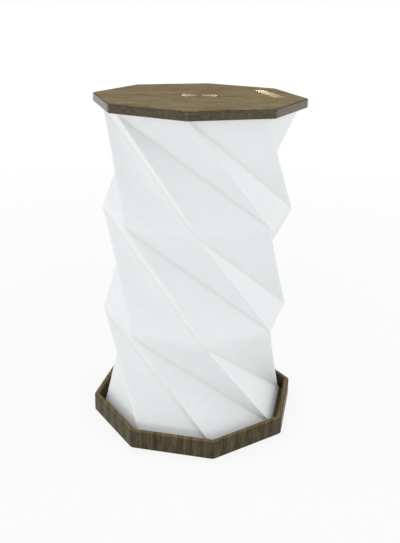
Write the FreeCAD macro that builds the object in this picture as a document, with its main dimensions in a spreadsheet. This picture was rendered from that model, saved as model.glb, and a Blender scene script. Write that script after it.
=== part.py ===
"""Folding paper table lamp: a walnut tray, a twisted paper shade in three tiers, and a walnut lid
that holds the light. All sizes are in millimetres and degrees, +Z is up, and the origin is the
point on the table under the middle of the tray."""

import FreeCAD
import Part
import Sketcher

import enum
import math
import os

Vector = FreeCAD.Vector

SIDES = 8
STEP_ANGLE = 360.0 / SIDES
LED_COUNT = 8
SCREW_COUNT = 4
FOOT_COUNT = 4

# The cup's screws stand clear of the board's tongue.
SCREW_TURN = 45

# Places closer than this are the same place.
CLOSE = 1e-3

# The pipe maker's number for corners that are mitred.
MITRED = 1


class Spot(enum.IntEnum):
    """The sketcher's numbers for the points of a sketch's item."""

    START = 1
    END = 2
    CENTRE = 3


class Axis(enum.IntEnum):
    """The sketcher's numbers for a sketch's own axes. Both start at its origin."""

    X = -1
    Y = -2


# The driving dimensions: name, value, and what it measures.
SIZES = [
    ("paper_corner_radius", 59.7, "shade, centre to a fold corner"),
    ("paper_thick", 0.5, "shade, thickness of the sheet"),
    ("low_tier_height", 65.6, "shade, height of the lowest tier"),
    ("mid_tier_height", 66.4, "shade, height of the middle tier"),
    ("high_tier_height", 63.9, "shade, height of the highest tier"),
    ("tier_lag", 5.283, "turn of a fold level against the one below, less one side"),
    ("flap_wide", 9.7, "glued flaps, from a fold corner inward"),
    ("band_wide", 10.7, "stiffening bands, from a fold corner inward"),
    ("band_thick", 1.5, "stiffening bands, thickness"),
    ("fold_gap", 0.3, "air between the upper band and the leaning folds"),
    ("tray_play", 3.082, "air between the shade and the tray's rim"),
    ("tray_height", 11.6, "tray, bottom to rim"),
    ("tray_wall", 3.2, "tray, thickness of the rim"),
    ("tray_floor", 3.0, "tray, thickness of the floor"),
    ("tray_corner_round", 4.4, "tray, radius of its upright corners"),
    ("tray_rim_round", 1.0, "tray, radius on the outside of the rim"),
    ("tray_inside_bevel", 0.4, "tray, chamfer on the inside of the rim"),
    ("tray_under_bevel", 0.5, "tray, chamfer of its lower edge"),
    ("recess_corner_round", 1.6, "recess, radius of its upright corners"),
    ("lid_overhang", 4.8, "lid, its corners past the fold corners"),
    ("lid_thick", 5.3, "lid, whole thickness"),
    ("lid_corner_round", 3.6, "lid, radius of its upright corners"),
    ("lid_top_round", 0.8, "lid, radius of its upper edge"),
    ("lid_under_bevel", 0.4, "lid, chamfer of its lower edge"),
    ("lid_skin", 2.7, "wood left above the round pocket"),
    ("lid_pocket_radius", 26.0, "round pocket under the lid"),
    ("inlay_gap", 0.1, "play round a metal inlay"),
    ("disc_radius", 11.0, "touch disc"),
    ("disc_edge", 0.25, "touch disc, chamfer"),
    ("plate_long", 35.0, "inlaid plate, length"),
    ("plate_wide", 7.0, "inlaid plate, width"),
    ("plate_thick", 0.8, "inlaid plate, thickness"),
    ("plate_corner_round", 2.6, "inlaid plate, radius of its corners"),
    ("plate_inset", 14.89, "inlaid plate, its middle from the lid's side"),
    ("board_thick", 1.0, "circuit boards, thickness"),
    ("board_gap", 0.4, "play round the control board"),
    ("tongue_wide", 7.2, "board's tongue to the charging socket, width"),
    ("chip_side", 4.0, "circuits on the control board, length and width"),
    ("chip_tall", 1.0, "circuits on the control board, height"),
    ("coil_tall", 1.4, "charging coil, height"),
    ("chip_gap", 1.0, "air between the circuits and the battery"),
    ("chip_shift", 9.0, "circuits, their middle off the board's centre lines"),
    ("socket_wide", 7.5, "charging socket, width"),
    ("socket_tall", 2.5, "charging socket, height"),
    ("socket_deep", 5.6, "charging socket, depth"),
    ("socket_skin", 0.3, "charging socket, sheet metal"),
    ("socket_round", 0.6, "charging socket, radius of its long edges"),
    ("socket_inset", 0.2, "charging socket, behind the lid's side"),
    ("mortise_long", 10.5, "closed part of the socket's channel"),
    ("channel_play", 0.1, "play on each side of the socket"),
    ("contact_wide", 3.7, "contact tongue in the socket, width"),
    ("contact_thick", 0.6, "contact tongue in the socket, thickness"),
    ("contact_inset", 0.45, "contact tongue, behind the socket's mouth"),
    ("cell_long", 31.0, "battery, length"),
    ("cell_wide", 26.0, "battery, width"),
    ("cell_thick", 4.2, "battery, thickness"),
    ("cell_round", 1.4, "battery, radius of its long edges"),
    ("wire_radius", 0.55, "battery wires"),
    ("wire_out", 2.2, "battery wires, from the middle of the battery's end"),
    ("wire_straight", 0.6, "battery wires, straight before the bend"),
    ("wire_bend", 1.45, "battery wires, how far the slope of the bend goes out and up"),
    ("pin_side", 0.64, "pins between the boards, length and width"),
    ("pin_gap", 3.3, "pins, from the side of the battery"),
    ("pin_pitch", 2.54, "pins, spacing"),
    ("led_long", 3.5, "light-emitting diode, length"),
    ("led_wide", 2.8, "light-emitting diode, width"),
    ("led_tall", 0.8, "light-emitting diode, height"),
    ("led_circle", 14.5, "circle of the diodes, radius"),
    ("cup_radius", 22.2, "lamp cup, outside"),
    ("cup_wall", 1.1, "lamp cup, wall"),
    ("cup_depth", 7.9, "lamp cup, from the lid down"),
    ("flange_radius", 31.5, "lamp cup, flange"),
    ("flange_thick", 1.2, "lamp cup, flange thickness"),
    ("ledge_wide", 1.3, "lamp cup, ledge for the light board"),
    ("ledge_thick", 1.0, "lamp cup, ledge thickness"),
    ("lens_thick", 1.2, "diffuser, thickness"),
    ("lens_skirt", 1.0, "diffuser, thickness of its skirt"),
    ("lens_play", 0.1, "play of diffuser and light board in the cup"),
    ("magnet_radius", 6.0, "catch magnet"),
    ("magnet_thick", 1.9, "catch magnet, thickness"),
    ("strike_radius", 8.0, "steel strike disc in the tray"),
    ("strike_thick", 1.0, "steel strike disc, thickness"),
    ("screw_inset", 2.9, "cup screws, from the flange's edge"),
    ("screw_head", 1.75, "cup screws, head radius"),
    ("screw_head_tall", 0.9, "cup screws, head height"),
    ("screw_shank", 0.9, "cup screws, shank radius"),
    ("screw_long", 5.1, "cup screws, whole length"),
    ("screw_play", 0.1, "play round a screw in the cup"),
    ("pilot_play", 0.05, "play round a screw in the wood"),
    ("pilot_spare", 0.2, "pilot hole, depth past the screw"),
    ("foot_radius", 4.5, "foot pads"),
    ("foot_thick", 0.5, "foot pads, thickness"),
    ("foot_inset", 12.44, "foot pads, their middle from the tray's side"),
]

# The shade's tiers, from the tray up.
TIER_HEIGHTS = ["Sizes.low_tier_height", "Sizes.mid_tier_height", "Sizes.high_tier_height"]
TIERS = len(TIER_HEIGHTS)

# Places that several pieces share, as expressions of the sheet.
HALF_SIDE = f"cos({STEP_ANGLE / 2} deg)"
PAPER_FLAT = f"Sizes.paper_corner_radius * {HALF_SIDE}"
RECESS_FLAT = f"{PAPER_FLAT} + Sizes.tray_play"
TRAY_FLAT = f"{RECESS_FLAT} + Sizes.tray_wall"
LID_CORNER = "Sizes.paper_corner_radius + Sizes.lid_overhang"
LID_FLAT = f"({LID_CORNER}) * {HALF_SIDE}"
SOCKET_MOUTH = f"{LID_FLAT} - Sizes.socket_inset"
PLATE_OUT = f"{LID_FLAT} - Sizes.plate_inset"
CUP_BORE = "Sizes.cup_radius - Sizes.cup_wall"
SCREW_CIRCLE = "Sizes.flange_radius - Sizes.screw_inset"
FOOT_CIRCLE = f"{TRAY_FLAT} - Sizes.foot_inset"

TRAY_FLOOR_Z = "Sizes.foot_thick + Sizes.tray_floor"
PAPER_LOW_Z = f"{TRAY_FLOOR_Z} + Sizes.band_thick"
LID_UNDER_Z = " + ".join([PAPER_LOW_Z, *TIER_HEIGHTS])
POCKET_DEEP = "Sizes.lid_thick - Sizes.lid_skin"
BOARD_UNDER_Z = f"{LID_UNDER_Z} + {POCKET_DEEP} - Sizes.board_thick"
CELL_UNDER_Z = f"{BOARD_UNDER_Z} - Sizes.cell_thick"
LIGHT_BOARD_Z = f"{CELL_UNDER_Z} - Sizes.board_thick"
CUP_LOW_Z = f"{LID_UNDER_Z} - Sizes.cup_depth"
SOCKET_MID = f"{POCKET_DEEP} - Sizes.board_thick / 2"

# The lid lags behind the tray by one tier's lag for each tier, and looks the same a side further on.
HEAD_TURN = f"{STEP_ANGLE} - {TIERS} * Sizes.tier_lag"

doc = FreeCAD.newDocument("FoldingLamp")
sheet = doc.addObject("Spreadsheet::Sheet", "Sizes")
pieces = []


def fill_sheet():
    """Write the driving dimensions into the sheet, one row each."""
    for row, (alias, value, meaning) in enumerate(SIZES, start=1):
        sheet.set(f"A{row}", meaning)
        sheet.set(f"B{row}", str(value))
        sheet.setAlias(f"B{row}", alias)
    doc.recompute()


def number(text):
    """The value of an expression of the sheet. No expression stands for zero."""
    if text is None:
        return 0.0
    value = sheet.evalExpression(text)
    return float(getattr(value, "Value", value))


def keep(piece, label, height=None, turned=False):
    """Name a finished piece, lift it to its height, and turn it if it belongs to the head."""
    piece.Label = label
    if turned:
        piece.Placement.Rotation = FreeCAD.Rotation(Vector(0, 0, 1), number(HEAD_TURN))
        piece.setExpression("Placement.Rotation.Angle", HEAD_TURN)
    if height:
        piece.setExpression("Placement.Base.z", height)
    pieces.append(piece)


# ---- sketches ------------------------------------------------------------------------------


def new_body(name):
    """An empty body."""
    return doc.addObject("PartDesign::Body", f"{name}_body")


def origin_item(body, role):
    """One of the body's own planes or axes."""
    return next(item for item in body.Origin.OriginFeatures if item.Role == role)


def new_sketch(body, name, role="XY_Plane", height=None):
    """A sketch on one of the body's own planes, lifted along that plane's normal."""
    sketch = body.newObject("Sketcher::SketchObject", name)
    sketch.AttachmentSupport = [(origin_item(body, role), "")]
    sketch.MapMode = "FlatFace"
    if height:
        sketch.setExpression("AttachmentOffset.Base.z", height)
    return sketch


def bind(sketch, constraint, text):
    """Add a dimension and tie it to an expression."""
    index = sketch.addConstraint(constraint)
    sketch.setExpression(f"Constraints[{index}]", text)


def pin_point(sketch, item, corner, x_text=None, y_text=None):
    """Hold a point at x and y. A missing coordinate puts it on the sketch's axis."""
    for axis, text, kind in ((Axis.Y, x_text, "DistanceX"), (Axis.X, y_text, "DistanceY")):
        if text:
            value = number(text)
            bind(sketch, Sketcher.Constraint(kind, Axis.X, Spot.START, item, corner, value), text)
        else:
            sketch.addConstraint(Sketcher.Constraint("PointOnObject", item, corner, axis))


def draw_loop(sketch, corners):
    """A closed outline of straight lines, each joined to the next."""
    count = len(corners)
    lines = [
        sketch.addGeometry(Part.LineSegment(corners[spot], corners[(spot + 1) % count]))
        for spot in range(count)
    ]
    for spot, line in enumerate(lines):
        after = lines[(spot + 1) % count]
        sketch.addConstraint(Sketcher.Constraint("Coincident", line, Spot.END, after, Spot.START))
    return lines


def draw_circle(sketch, radius, x_text=None, y_text=None):
    """A circle about a point."""
    centre = Vector(number(x_text), number(y_text), 0)
    circle = sketch.addGeometry(Part.Circle(centre, Vector(0, 0, 1), number(radius)))
    pin_point(sketch, circle, Spot.CENTRE, x_text, y_text)
    bind(sketch, Sketcher.Constraint("Radius", circle, number(radius)), radius)


def draw_octagon(sketch, radius):
    """A regular outline with its flats across the axes. The radius reaches its corners."""
    size = number(radius)
    angles = [math.radians(STEP_ANGLE * (side - 0.5)) for side in range(SIDES)]
    lines = draw_loop(sketch, [Vector(size * math.cos(a), size * math.sin(a), 0) for a in angles])
    guide = sketch.addGeometry(Part.Circle(Vector(), Vector(0, 0, 1), size), True)
    sketch.addConstraint(Sketcher.Constraint("Coincident", guide, Spot.CENTRE, Axis.X, Spot.START))
    for line in lines:
        sketch.addConstraint(Sketcher.Constraint("PointOnObject", line, Spot.START, guide))
    for line in lines[1:]:
        sketch.addConstraint(Sketcher.Constraint("Equal", lines[0], line))
    sketch.addConstraint(Sketcher.Constraint("Vertical", lines[0]))
    bind(sketch, Sketcher.Constraint("Radius", guide, size), radius)


def draw_rectangle(sketch, width, depth, x_text=None, y_text=None):
    """An upright rectangle about a centre point."""
    half_w = number(width) / 2
    half_d = number(depth) / 2
    middle = Vector(number(x_text), number(y_text), 0)
    ways = ((-1, -1), (1, -1), (1, 1), (-1, 1))
    lines = draw_loop(sketch, [middle + Vector(x * half_w, y * half_d, 0) for x, y in ways])
    centre = sketch.addGeometry(Part.Point(middle), True)
    for side, line in enumerate(lines):
        way = "Vertical" if side % 2 else "Horizontal"
        sketch.addConstraint(Sketcher.Constraint(way, line))
    opposite = (lines[0], Spot.START, lines[2], Spot.START)
    sketch.addConstraint(Sketcher.Constraint("Symmetric", *opposite, centre, Spot.START))
    bind(sketch, Sketcher.Constraint("Distance", lines[0], 2 * half_w), width)
    bind(sketch, Sketcher.Constraint("Distance", lines[1], 2 * half_d), depth)
    pin_point(sketch, centre, Spot.START, x_text, y_text)


def draw_profile(sketch, points):
    """A closed outline through points given as pairs of expressions, None on an axis."""
    lines = draw_loop(sketch, [Vector(number(x), number(y), 0) for x, y in points])
    for line, (x_text, y_text) in zip(lines, points):
        pin_point(sketch, line, Spot.START, x_text, y_text)


# ---- features ------------------------------------------------------------------------------


def add_pad(body, sketch, length):
    """Raise an outline along its sketch's normal."""
    pad = body.newObject("PartDesign::Pad", f"{sketch.Name}_pad")
    pad.Profile = sketch
    pad.setExpression("Length", length)
    doc.recompute()


def add_pocket(body, sketch, depth=None, along=False):
    """Cut against the normal of the sketch, or along it. With no depth it goes right through."""
    before = body.Shape.Volume
    pocket = body.newObject("PartDesign::Pocket", f"{sketch.Name}_cut")
    pocket.Profile = sketch
    pocket.Reversed = along
    if depth:
        pocket.setExpression("Length", depth)
    else:
        pocket.Type = "ThroughAll"
    doc.recompute()
    assert body.Shape.Volume < before, f"{pocket.Name} cuts nothing"
    return pocket


def add_turned(body, sketch):
    """Turn a profile about the upright axis of its sketch."""
    turned = body.newObject("PartDesign::Revolution", f"{sketch.Name}_turn")
    turned.Profile = sketch
    turned.ReferenceAxis = (sketch, ["V_Axis"])
    turned.Angle = 360
    doc.recompute()


def add_round(body, name, radius, wanted, kind="Fillet"):
    """Fillet or chamfer the edges of the body that a test picks."""
    base = body.Tip
    edges = enumerate(base.Shape.Edges, start=1)
    names = [f"Edge{place}" for place, edge in edges if wanted(edge)]
    assert names, f"{name} finds no edges"
    feature = body.newObject(f"PartDesign::{kind}", name)
    feature.Base = (base, names)
    feature.setExpression("Radius" if kind == "Fillet" else "Size", radius)
    doc.recompute()


def add_ring_of(body, feature, count):
    """Repeat a feature about the body's own upright axis."""
    pattern = body.newObject("PartDesign::PolarPattern", f"{feature.Name}_ring")
    pattern.Originals = [feature]
    pattern.Axis = (origin_item(body, "Z_Axis"), [""])
    pattern.Angle = 360
    pattern.Occurrences = count
    body.Tip = pattern
    doc.recompute()


def side_reach(point):
    """How far out a point lies, measured square to the octagon's nearest side."""
    angles = [math.radians(STEP_ANGLE * side) for side in range(SIDES)]
    return max(point.x * math.cos(a) + point.y * math.sin(a) for a in angles)


def upright(least=0.0, most=math.inf):
    """A test for upright edges that lie between two distances from the middle."""

    def wanted(edge):
        box = edge.BoundBox
        straight_up = box.ZLength > CLOSE and box.XLength + box.YLength < CLOSE
        return straight_up and least < side_reach(edge.CenterOfMass) < most

    return wanted


def on_level(height, least=0.0, most=math.inf):
    """A test for level edges at one height that lie between two distances from the middle."""

    def wanted(edge):
        box = edge.BoundBox
        middle = edge.valueAt((edge.FirstParameter + edge.LastParameter) / 2)
        level = box.ZLength < CLOSE and abs(box.ZMin - height) < CLOSE
        return level and least < side_reach(middle) < most

    return wanted


def runs_back(length):
    """A test for edges that run from front to back over one length."""

    def wanted(edge):
        return abs(edge.BoundBox.YLength - length) < CLOSE

    return wanted


# ---- plain pieces --------------------------------------------------------------------------


def ring_place(circle, angle):
    """The expressions of x and y for a place on a circle about the middle."""
    return f"({circle}) * cos({angle} deg)", f"({circle}) * sin({angle} deg)"


def put(piece, x_text, y_text, z_text=None):
    """Tie the place of a piece to expressions."""
    piece.setExpression("Placement.Base.x", x_text)
    piece.setExpression("Placement.Base.y", y_text)
    if z_text:
        piece.setExpression("Placement.Base.z", z_text)


def cylinder(name, radius, height):
    """An upright rod or disc."""
    rod = doc.addObject("Part::Cylinder", name)
    rod.setExpression("Radius", radius)
    rod.setExpression("Height", height)
    return rod


def block(name, length, width, height):
    """A plain block, placed by its lowest corner."""
    solid = doc.addObject("Part::Box", name)
    solid.setExpression("Length", length)
    solid.setExpression("Width", width)
    solid.setExpression("Height", height)
    return solid


def group(name, members, label, height=None, turned=False):
    """Several solids that make one piece's set."""
    compound = doc.addObject("Part::Compound", f"{name}_group")
    compound.Links = members
    keep(compound, label, height, turned)


# ---- the tray ------------------------------------------------------------------------------


def make_tray():
    """Octagonal walnut tray: a flat floor, a rim and a seat for the steel disc."""
    body = new_body("tray")
    outline = new_sketch(body, "tray_outline")
    draw_octagon(outline, f"({TRAY_FLAT}) / {HALF_SIDE}")
    add_pad(body, outline, "Sizes.tray_height")
    add_round(body, "tray_corners", "Sizes.tray_corner_round", upright())

    recess = new_sketch(body, "tray_recess", height="Sizes.tray_height")
    draw_octagon(recess, f"({RECESS_FLAT}) / {HALF_SIDE}")
    add_pocket(body, recess, "Sizes.tray_height - Sizes.tray_floor")
    inside = upright(most=number(RECESS_FLAT) + CLOSE)
    add_round(body, "recess_corners", "Sizes.recess_corner_round", inside)

    rim = number("Sizes.tray_height")
    mid_wall = number(f"{RECESS_FLAT} + Sizes.tray_wall / 2")
    add_round(body, "rim_outside", "Sizes.tray_rim_round", on_level(rim, least=mid_wall))
    in_rim = on_level(rim, most=mid_wall)
    add_round(body, "rim_inside", "Sizes.tray_inside_bevel", in_rim, "Chamfer")
    add_round(body, "tray_under", "Sizes.tray_under_bevel", on_level(0.0), "Chamfer")

    strike = new_sketch(body, "strike_seat", height="Sizes.tray_floor")
    draw_circle(strike, "Sizes.strike_radius + Sizes.inlay_gap")
    add_pocket(body, strike, "Sizes.strike_thick")
    keep(body, "tray", "Sizes.foot_thick")


def make_foot_pads():
    """Round silicone pads, stuck to the tray's underside."""
    pads = []
    for place in range(FOOT_COUNT):
        pad = cylinder(f"foot_{place}", "Sizes.foot_radius", "Sizes.foot_thick")
        put(pad, *ring_place(FOOT_CIRCLE, 360 * place / FOOT_COUNT))
        pads.append(pad)
    group("foot", pads, "foot_pads")


def make_strike_disc():
    """Steel disc in the tray's floor that the magnet pulls to."""
    disc = cylinder("strike_blank", "Sizes.strike_radius", "Sizes.strike_thick")
    keep(disc, "strike_disc", f"{TRAY_FLOOR_Z} - Sizes.strike_thick")


# ---- the shade -----------------------------------------------------------------------------


def fold_level(radius, height, turn):
    """The corners of one fold level, counter-clockwise from above."""
    angles = [math.radians(STEP_ANGLE * (side + 0.5) - turn) for side in range(SIDES)]
    return [Vector(radius * math.cos(a), radius * math.sin(a), height) for a in angles]


def flat_face(corners):
    """A flat face inside a ring of corners."""
    return Part.Face(Part.makePolygon([*corners, corners[0]]))


def tier_faces(low, high):
    """The pleats of one tier. From each upper corner a ridge runs down to the next lower corner
    and a valley to the one after it, so each side of the level has two leaning triangles."""
    faces = []
    for side in range(SIDES):
        ridge_foot = low[(side + 1) % SIDES]
        valley_foot = low[(side + 2) % SIDES]
        next_top = high[(side + 1) % SIDES]
        faces.append(flat_face([high[side], ridge_foot, valley_foot]))
        faces.append(flat_face([high[side], valley_foot, next_top]))
    return faces


def ring_face(outer, inner):
    """A flat octagonal ring between two loops of corners at one height."""
    loops = [Part.makePolygon([*corners, corners[0]]) for corners in (outer, inner)]
    return Part.Face(loops)


def wall_faces(low, high):
    """Upright sides between two levels with the same turn."""
    faces = []
    for side in range(SIDES):
        after = (side + 1) % SIDES
        faces.append(flat_face([low[side], low[after], high[after], high[side]]))
    return faces


def make_shade():
    """One sheet folded into a tube of three twisted tiers, with flaps turned in at both ends."""
    radius = number("Sizes.paper_corner_radius")
    thick = number("Sizes.paper_thick")
    lag = number("Sizes.tier_lag")
    flap = number("Sizes.paper_corner_radius - Sizes.flap_wide")
    heights = [0.0]
    for tier_height in TIER_HEIGHTS:
        heights.append(heights[-1] + number(tier_height))
    top = heights[TIERS]

    outside = [fold_level(radius, z, step * lag) for step, z in enumerate(heights)]
    inside = [fold_level(radius - thick, z, step * lag) for step, z in enumerate(heights)]
    inside[0] = fold_level(radius - thick, thick, 0)
    inside[TIERS] = fold_level(radius - thick, top - thick, TIERS * lag)

    faces = []
    for step in range(TIERS):
        faces += tier_faces(outside[step], outside[step + 1])
        faces += tier_faces(inside[step], inside[step + 1])
    ends = ((0, 0.0, thick), (TIERS, top, top - thick))
    for step, face_z, back_z in ends:
        edge = fold_level(flap, face_z, step * lag)
        back = fold_level(flap, back_z, step * lag)
        faces.append(ring_face(outside[step], edge))
        faces.append(ring_face(inside[step], back))
        faces += wall_faces(edge, back)

    shell = Part.Shell(faces)
    shell.sewShape()
    solid = Part.Solid(shell)
    solid.fix(1e-6, 1e-6, 1e-6)
    if solid.Volume < 0:
        solid.reverse()
    shade = doc.addObject("Part::Feature", "shade_sheet")
    shade.Shape = solid
    keep(shade, "shade", PAPER_LOW_Z)


def make_band(name, outer, label, height, turned):
    """Flat octagonal ring of stiff board that holds an end of the shade in shape."""
    body = new_body(name)
    outline = new_sketch(body, f"{name}_outline")
    draw_octagon(outline, outer)
    draw_octagon(outline, "Sizes.paper_corner_radius - Sizes.band_wide")
    add_pad(body, outline, "Sizes.band_thick")
    keep(body, label, height, turned)


def make_bands():
    """The lower band lies under the flaps, the upper one holds the flaps against the lid."""
    valley_turn = f"cos({1.5 * STEP_ANGLE} deg + Sizes.tier_lag * 1 deg)"
    lean = f"Sizes.paper_corner_radius * ({HALF_SIDE} - {valley_turn}) / {TIER_HEIGHTS[-1]}"
    drop = "(Sizes.paper_thick + Sizes.band_thick)"
    inner_flat = f"{PAPER_FLAT} - Sizes.paper_thick - Sizes.fold_gap - {lean} * {drop}"
    upper_z = f"{LID_UNDER_Z} - Sizes.paper_thick - Sizes.band_thick"
    make_band("low_band", "Sizes.paper_corner_radius", "lower_band", TRAY_FLOOR_Z, False)
    make_band("high_band", f"({inner_flat}) / {HALF_SIDE}", "upper_band", upper_z, True)


# ---- the lid -------------------------------------------------------------------------------


def make_lid():
    """Octagonal walnut lid, routed underneath for the boards and the charging socket."""
    body = new_body("lid")
    outline = new_sketch(body, "lid_outline")
    draw_octagon(outline, LID_CORNER)
    add_pad(body, outline, "Sizes.lid_thick")
    add_round(body, "lid_corners", "Sizes.lid_corner_round", upright())
    top = number("Sizes.lid_thick")
    add_round(body, "lid_top_edge", "Sizes.lid_top_round", on_level(top))
    add_round(body, "lid_under_edge", "Sizes.lid_under_bevel", on_level(0.0), "Chamfer")

    pocket = new_sketch(body, "lid_pocket")
    draw_circle(pocket, "Sizes.lid_pocket_radius")
    add_pocket(body, pocket, POCKET_DEEP, along=True)

    hole = new_sketch(body, "disc_hole", height="Sizes.lid_thick")
    draw_circle(hole, "Sizes.disc_radius + Sizes.inlay_gap")
    add_pocket(body, hole)

    channel = new_sketch(body, "board_channel")
    wide = "Sizes.socket_wide + 2 * Sizes.channel_play"
    run = f"{LID_FLAT} - Sizes.mortise_long"
    draw_rectangle(channel, wide, run, None, f"({run}) / 2")
    add_pocket(body, channel, POCKET_DEEP, along=True)

    mortise = new_sketch(body, "socket_mortise", "XZ_Plane", f"-({LID_FLAT})")
    tall = "Sizes.socket_tall + 2 * Sizes.channel_play"
    draw_rectangle(mortise, wide, tall, None, SOCKET_MID)
    add_pocket(body, mortise, "Sizes.mortise_long", along=True)

    seat = new_sketch(body, "plate_seat", height="Sizes.lid_thick")
    seat_wide = "Sizes.plate_wide + 2 * Sizes.inlay_gap"
    seat_long = "Sizes.plate_long + 2 * Sizes.inlay_gap"
    draw_rectangle(seat, seat_wide, seat_long, PLATE_OUT)
    add_pocket(body, seat, "Sizes.plate_thick")
    near = number(f"{PLATE_OUT} - Sizes.plate_wide")
    far = number(f"{PLATE_OUT} + Sizes.plate_wide")
    seat_round = "Sizes.plate_corner_round + Sizes.inlay_gap"
    add_round(body, "plate_seat_corners", seat_round, upright(near, far))

    pilot = new_sketch(body, "screw_pilot")
    pilot_place = ring_place(SCREW_CIRCLE, SCREW_TURN)
    draw_circle(pilot, "Sizes.screw_shank + Sizes.pilot_play", *pilot_place)
    in_wood = "Sizes.screw_long - Sizes.screw_head_tall - Sizes.flange_thick"
    pilot_deep = f"{in_wood} + Sizes.pilot_spare"
    cut = add_pocket(body, pilot, pilot_deep, along=True)
    add_ring_of(body, cut, SCREW_COUNT)
    keep(body, "lid", LID_UNDER_Z, turned=True)


def make_touch_disc():
    """Brushed copper disc, level with the top of the lid, on the control board."""
    body = new_body("disc")
    outline = new_sketch(body, "disc_outline")
    draw_circle(outline, "Sizes.disc_radius")
    add_pad(body, outline, "Sizes.lid_skin")
    top = on_level(number("Sizes.lid_skin"))
    add_round(body, "disc_chamfer", "Sizes.disc_edge", top, "Chamfer")
    keep(body, "touch_disc", f"{LID_UNDER_Z} + {POCKET_DEEP}", turned=True)


def make_inlay_plate():
    """Bare copper plate with round corners, let into the lid near one side."""
    body = new_body("plate")
    outline = new_sketch(body, "plate_outline")
    draw_rectangle(outline, "Sizes.plate_wide", "Sizes.plate_long", PLATE_OUT)
    add_pad(body, outline, "Sizes.plate_thick")
    add_round(body, "plate_corners", "Sizes.plate_corner_round", upright())
    height = f"{LID_UNDER_Z} + Sizes.lid_thick - Sizes.plate_thick"
    keep(body, "inlay_plate", height, turned=True)


# ---- the electronics -----------------------------------------------------------------------


def make_control_board():
    """Round board with a tongue that carries the charging socket on its end."""
    body = new_body("board")
    outline = new_sketch(body, "board_outline")
    draw_circle(outline, "Sizes.lid_pocket_radius - Sizes.board_gap")
    add_pad(body, outline, "Sizes.board_thick")
    tongue = new_sketch(body, "board_tongue")
    reach = f"{SOCKET_MOUTH} - Sizes.socket_deep"
    draw_rectangle(tongue, "Sizes.tongue_wide", reach, None, f"({reach}) / 2")
    add_pad(body, tongue, "Sizes.board_thick")
    keep(body, "control_board", BOARD_UNDER_Z, turned=True)


def make_control_chips():
    """Touch and charging circuits under the control board, beside and behind the battery."""
    beside = "Sizes.cell_wide / 2 + Sizes.chip_gap"
    behind = "Sizes.cell_long / 2 + Sizes.chip_gap"
    side = "Sizes.chip_side"
    lower = f"-Sizes.chip_shift - {side} / 2"
    upper = f"Sizes.chip_shift - {side} / 2"
    chips = []
    for name, tall, x_text, y_text in (
        ("touch_chip", "Sizes.chip_tall", f"-({beside}) - {side}", lower),
        ("charging_coil", "Sizes.coil_tall", beside, lower),
        ("charging_chip", "Sizes.chip_tall", lower, behind),
        ("driver_chip", "Sizes.chip_tall", upper, behind),
    ):
        chip = block(name, side, side, tall)
        put(chip, x_text, y_text, f"-{tall}")
        chips.append(chip)
    group("chips", chips, "control_chips", BOARD_UNDER_Z, turned=True)


def make_socket():
    """Drawn steel shell of the charging socket, open to the side of the lid."""
    body = new_body("socket")
    outline = new_sketch(body, "socket_outline", "XZ_Plane", f"-({SOCKET_MOUTH})")
    draw_rectangle(outline, "Sizes.socket_wide", "Sizes.socket_tall", None, SOCKET_MID)
    add_pad(body, outline, "Sizes.socket_deep")
    long_edges = runs_back(number("Sizes.socket_deep"))
    add_round(body, "socket_edges", "Sizes.socket_round", long_edges)

    bore = new_sketch(body, "socket_bore", "XZ_Plane", f"-({SOCKET_MOUTH})")
    bore_wide = "Sizes.socket_wide - 2 * Sizes.socket_skin"
    bore_tall = "Sizes.socket_tall - 2 * Sizes.socket_skin"
    draw_rectangle(bore, bore_wide, bore_tall, None, SOCKET_MID)
    add_pocket(body, bore, "Sizes.socket_deep - Sizes.socket_skin", along=True)
    keep(body, "charging_socket", LID_UNDER_Z, turned=True)


def make_socket_tongue():
    """Plastic contact tongue that stands on the back of the charging socket."""
    body = new_body("contact")
    outline = new_sketch(body, "contact_outline", height=f"{SOCKET_MID} - Sizes.contact_thick / 2")
    back = f"{SOCKET_MOUTH} - Sizes.socket_deep + Sizes.socket_skin"
    long = "Sizes.socket_deep - Sizes.socket_skin - Sizes.contact_inset"
    draw_rectangle(outline, "Sizes.contact_wide", long, None, f"{back} + ({long}) / 2")
    add_pad(body, outline, "Sizes.contact_thick")
    keep(body, "socket_tongue", LID_UNDER_Z, turned=True)


def make_battery():
    """Flat pouch cell with rounded long edges."""
    body = new_body("cell")
    outline = new_sketch(body, "cell_outline")
    draw_rectangle(outline, "Sizes.cell_wide", "Sizes.cell_long")
    add_pad(body, outline, "Sizes.cell_thick")
    long_edges = runs_back(number("Sizes.cell_long"))
    add_round(body, "cell_edges", "Sizes.cell_round", long_edges)
    keep(body, "battery", CELL_UNDER_Z, turned=True)


def make_battery_wires():
    """Two short eight-sided wires that leave the end of the cell and turn up to the board."""
    radius = number("Sizes.wire_radius")
    cell_end = number("Sizes.cell_long / 2")
    drop = number("Sizes.cell_thick / 2")
    bend = number("Sizes.wire_bend")
    slope_y = cell_end + number("Sizes.wire_straight")
    angles = [math.radians(STEP_ANGLE * (side + 0.5)) for side in range(SIDES)]
    wires = []
    for name, side in (("red", -1), ("black", 1)):
        out_x = side * number("Sizes.wire_out")
        places = [
            Vector(out_x, cell_end, -drop),
            Vector(out_x, slope_y, -drop),
            Vector(out_x, slope_y + bend, bend - drop),
            Vector(out_x, slope_y + bend, 0),
        ]
        path = Part.makePolygon(places)
        rims = [Vector(radius * math.cos(a), 0, radius * math.sin(a)) for a in angles]
        ring = Part.makePolygon([places[0] + rim for rim in [*rims, rims[0]]])
        wire = doc.addObject("Part::Feature", f"{name}_battery_wire")
        wire.Shape = path.makePipeShell([ring], True, False, MITRED)
        wires.append(wire)
    group("wires", wires, "battery_wires", BOARD_UNDER_Z, turned=True)


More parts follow.
